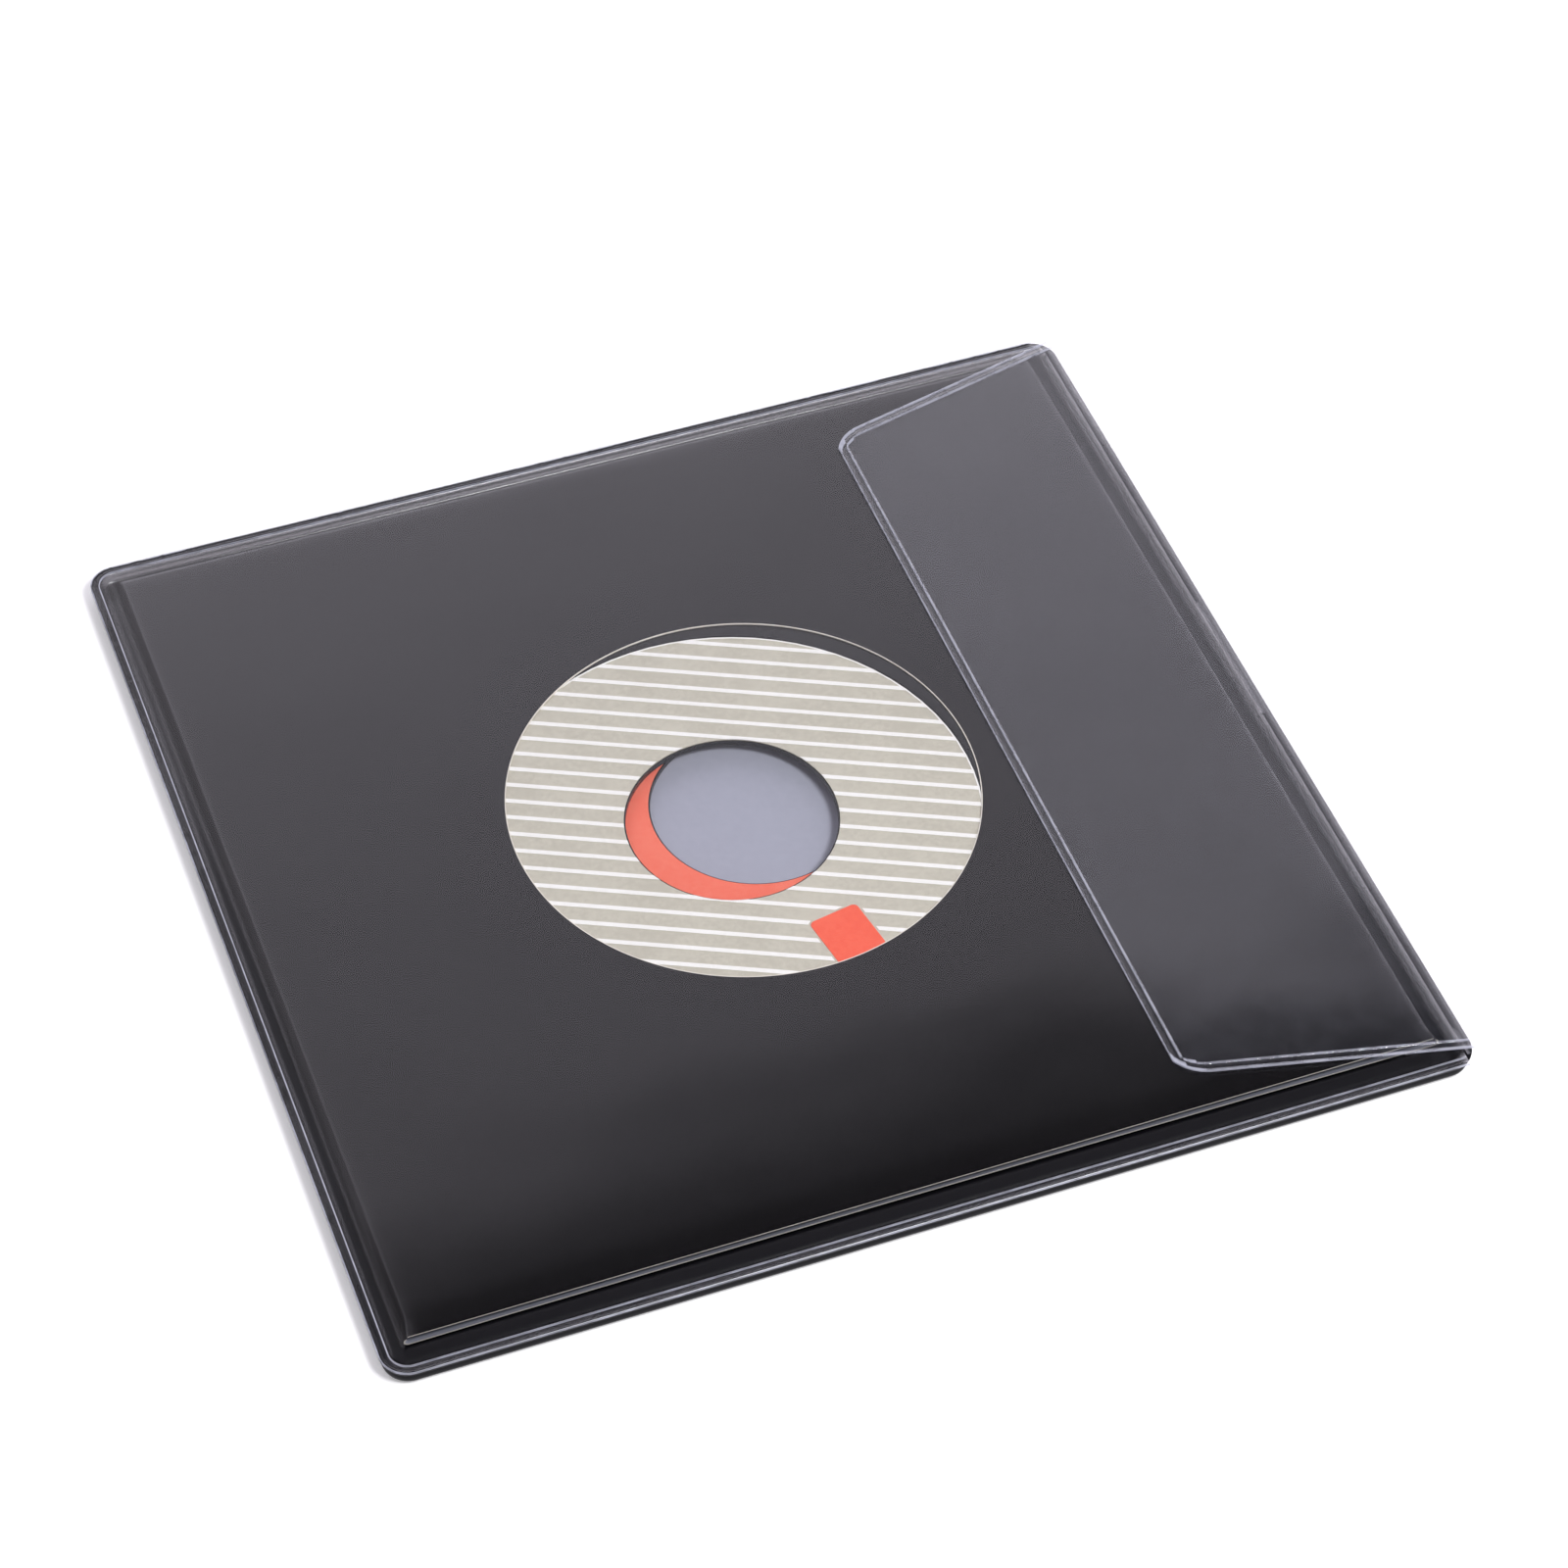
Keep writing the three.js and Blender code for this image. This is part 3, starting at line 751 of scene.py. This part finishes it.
def dress_solids():
    dress(vinyl("upper_vinyl", LABEL_CENTRE), "upper_record")
    dress(vinyl("lower_vinyl", LOWER_CENTRE), "lower_record")
    grey_label = printed_paper("label_paper", (0.53, 0.50, 0.41), (0.60, 0.57, 0.47))
    coral_label = printed_paper("coral_paper", (0.93, 0.17, 0.10), (0.96, 0.21, 0.13))
    dress(grey_label, "upper_label_front", "upper_label_back")
    dress(coral_label, "lower_label_front", "lower_label_back")
    dress(printed_paper("white_ink", (0.93, 0.92, 0.87), (0.97, 0.96, 0.92), roughness=0.5), "label_stripes")
    dress(printed_paper("coral_ink", (0.92, 0.11, 0.05), (0.96, 0.14, 0.07), roughness=0.5), "label_block")


# Camera and floor

CAMERA_LENS = 104.5       # millimetres
CAMERA_SENSOR = 36.0      # millimetres
CAMERA_AZIMUTH = -20.83   # degrees, from the front edge towards the left
CAMERA_ELEVATION = 47.58
CAMERA_ROLL = 0.78
CAMERA_DISTANCE = 824.1 * MM
CAMERA_TARGET = Vector((8.58 * MM, 5.98 * MM, 0.0))
FLOOR_REACH = 6.0
FLOOR_DROP = 0.02 * MM
FLOOR_GLOW = 0.3


def camera():
    azimuth, elevation, roll = map(math.radians, (CAMERA_AZIMUTH, CAMERA_ELEVATION, CAMERA_ROLL))
    back = Vector((
        math.sin(azimuth) * math.cos(elevation),
        -math.cos(azimuth) * math.cos(elevation),
        math.sin(elevation),
    ))
    level = Vector((math.cos(azimuth), math.sin(azimuth), 0.0))
    upright = back.cross(level)
    right = level * math.cos(roll) + upright * math.sin(roll)
    up = upright * math.cos(roll) - level * math.sin(roll)
    data = bpy.data.cameras.new("camera")
    data.lens = CAMERA_LENS
    data.sensor_width = CAMERA_SENSOR
    data.clip_start = 0.01
    data.clip_end = 50.0
    seen = bpy.data.objects.new("camera", data)
    place = CAMERA_TARGET + back * CAMERA_DISTANCE
    turned = Matrix((right, up, back)).transposed().to_4x4()
    seen.matrix_world = Matrix.Translation(place) @ turned
    bpy.context.collection.objects.link(seen)
    bpy.context.scene.camera = seen


def floor_material():
    material, tree = new_material("floor")
    camera_ray = add(tree, "ShaderNodeLightPath").outputs["Is Camera Ray"]
    pale = add(tree, "ShaderNodeBsdfDiffuse", {"Color": (0.82, 0.82, 0.83, 1.0)}).outputs[0]
    white = add(tree, "ShaderNodeBsdfDiffuse", {"Color": (0.93, 0.93, 0.94, 1.0)}).outputs[0]
    glow = add(tree, "ShaderNodeEmission", {"Color": (1, 1, 1, 1), "Strength": FLOOR_GLOW}).outputs[0]
    seen = add(tree, "ShaderNodeAddShader", {0: white, 1: glow}).outputs[0]
    finish_material(tree, add(tree, "ShaderNodeMixShader", {0: camera_ray, 1: pale, 2: seen}).outputs[0])
    return material


def floor():
    square = [(x * FLOOR_REACH, y * FLOOR_REACH, 0) for x, y in ((-1, -1), (1, -1), (1, 1), (-1, 1))]
    mesh = bpy.data.meshes.new("floor")
    mesh.from_pydata(square, [], [(0, 1, 2, 3)])
    mesh.materials.append(floor_material())
    plane = bpy.data.objects.new("floor", mesh)
    plane.location.z = -FLOOR_DROP
    bpy.context.collection.objects.link(plane)


# Studio: a bright back wall in a dim room, and a key light

# Back wall by height above the floor in degrees: (height, strength)
BACK_WALL = [(0, 1.0), (8, 2.4), (22, 2.9), (32, 2.0), (41.5, 1.35), (43.3, 1.08), (45.5, 0.93), (47.5, 0.83),
             (50.6, 0.8), (52.6, 0.02), (62, 0.03), (74, 0.4), (90, 0.4)]
ROOM = 0.3                # strength of the other walls and the ceiling
EDGE_SLOPE = 0.22         # the wall's upper edge drops by this for each degree of heading
EDGE_HEADING = 20.7       # heading where the wall's heights above hold
BACK_HEADING = 22.0       # degrees from +Y towards +X
BACK_SPREAD = 50.0        # half width of the bright back wall
BACK_FADE = 6.0           # half width of its fading sides
STRONGEST = 8.0
KEY_PLACE = (0.28, -0.58, 0.98)
KEY_SIZE = 0.3
KEY_POWER = 10.2          # watts


def height_ramp(tree, height, stops):
    """Strength by height: a ramp of greys scaled by the strongest value."""
    ramp = add(tree, "ShaderNodeValToRGB", {"Fac": math_node(tree, "DIVIDE", height, 90.0, clamp=True)})
    ramp.color_ramp.interpolation = "EASE"
    points = ramp.color_ramp.elements
    while len(points) < len(stops):
        points.new(0.5)
    for point, (degrees, strength) in zip(points, stops):
        grey = strength / STRONGEST
        point.position = degrees / 90
        point.color = (grey, grey, grey, 1.0)
    return math_node(tree, "MULTIPLY", ramp.outputs["Color"], STRONGEST)


def studio_strength(tree):
    """Strength of the studio's light by direction."""
    direction = add(tree, "ShaderNodeTexCoord").outputs["Generated"]
    parts = add(tree, "ShaderNodeSeparateXYZ", {0: direction}).outputs
    height = math_node(tree, "MULTIPLY", math_node(tree, "ARCSINE", parts["Z"]), 180 / math.pi)
    heading = math_node(tree, "ARCTAN2", parts["X"], parts["Y"])
    degrees = math_node(tree, "MULTIPLY", heading, 180 / math.pi)
    apart = math_node(tree, "ABSOLUTE", math_node(tree, "SUBTRACT", degrees, BACK_HEADING))
    behind = smooth_step(tree, apart, BACK_SPREAD - BACK_FADE, BACK_SPREAD + BACK_FADE, 1.0, 0.0)
    turned = math_node(tree, "MULTIPLY", math_node(tree, "SUBTRACT", degrees, EDGE_HEADING), EDGE_SLOPE)
    back_wall = height_ramp(tree, math_node(tree, "ADD", height, turned), BACK_WALL)
    elsewhere = math_node(tree, "MULTIPLY", ROOM, math_node(tree, "SUBTRACT", 1.0, behind))
    return math_node(tree, "ADD", math_node(tree, "MULTIPLY", back_wall, behind), elsewhere)


def studio():
    world = bpy.data.worlds.new("studio")
    world.use_nodes = True
    tree = world.node_tree
    tree.nodes.clear()
    camera_ray = add(tree, "ShaderNodeLightPath").outputs["Is Camera Ray"]
    light = studio_strength(tree)
    shown = add(tree, "ShaderNodeMix", {0: camera_ray, 2: light, 3: 1.0}, data_type="FLOAT").outputs[0]
    tint = colour_mix(tree, camera_ray, (1.0, 0.955, 1.06), (1.0, 1.0, 1.0))
    glow = add(tree, "ShaderNodeBackground", {"Color": tint, "Strength": shown})
    add(tree, "ShaderNodeOutputWorld", {"Surface": glow.outputs[0]})
    bpy.context.scene.world = world


def key_light():
    data = bpy.data.lights.new("key", "AREA")
    data.shape = "SQUARE"
    data.size = KEY_SIZE
    data.energy = KEY_POWER
    lamp = bpy.data.objects.new("key", data)
    lamp.location = KEY_PLACE
    lamp.rotation_mode = "QUATERNION"
    lamp.rotation_quaternion = (-Vector(KEY_PLACE)).to_track_quat("-Z", "Y")
    lamp.visible_camera = False
    bpy.context.collection.objects.link(lamp)


front_sheet()
back_sheet()
flap()
paper_sleeve()
dress_solids()
camera()
floor()
studio()
key_light()

bpy.context.scene.view_settings.view_transform = "Standard"


def corners(bounds):
    return [list(corner) for corner in bounds]
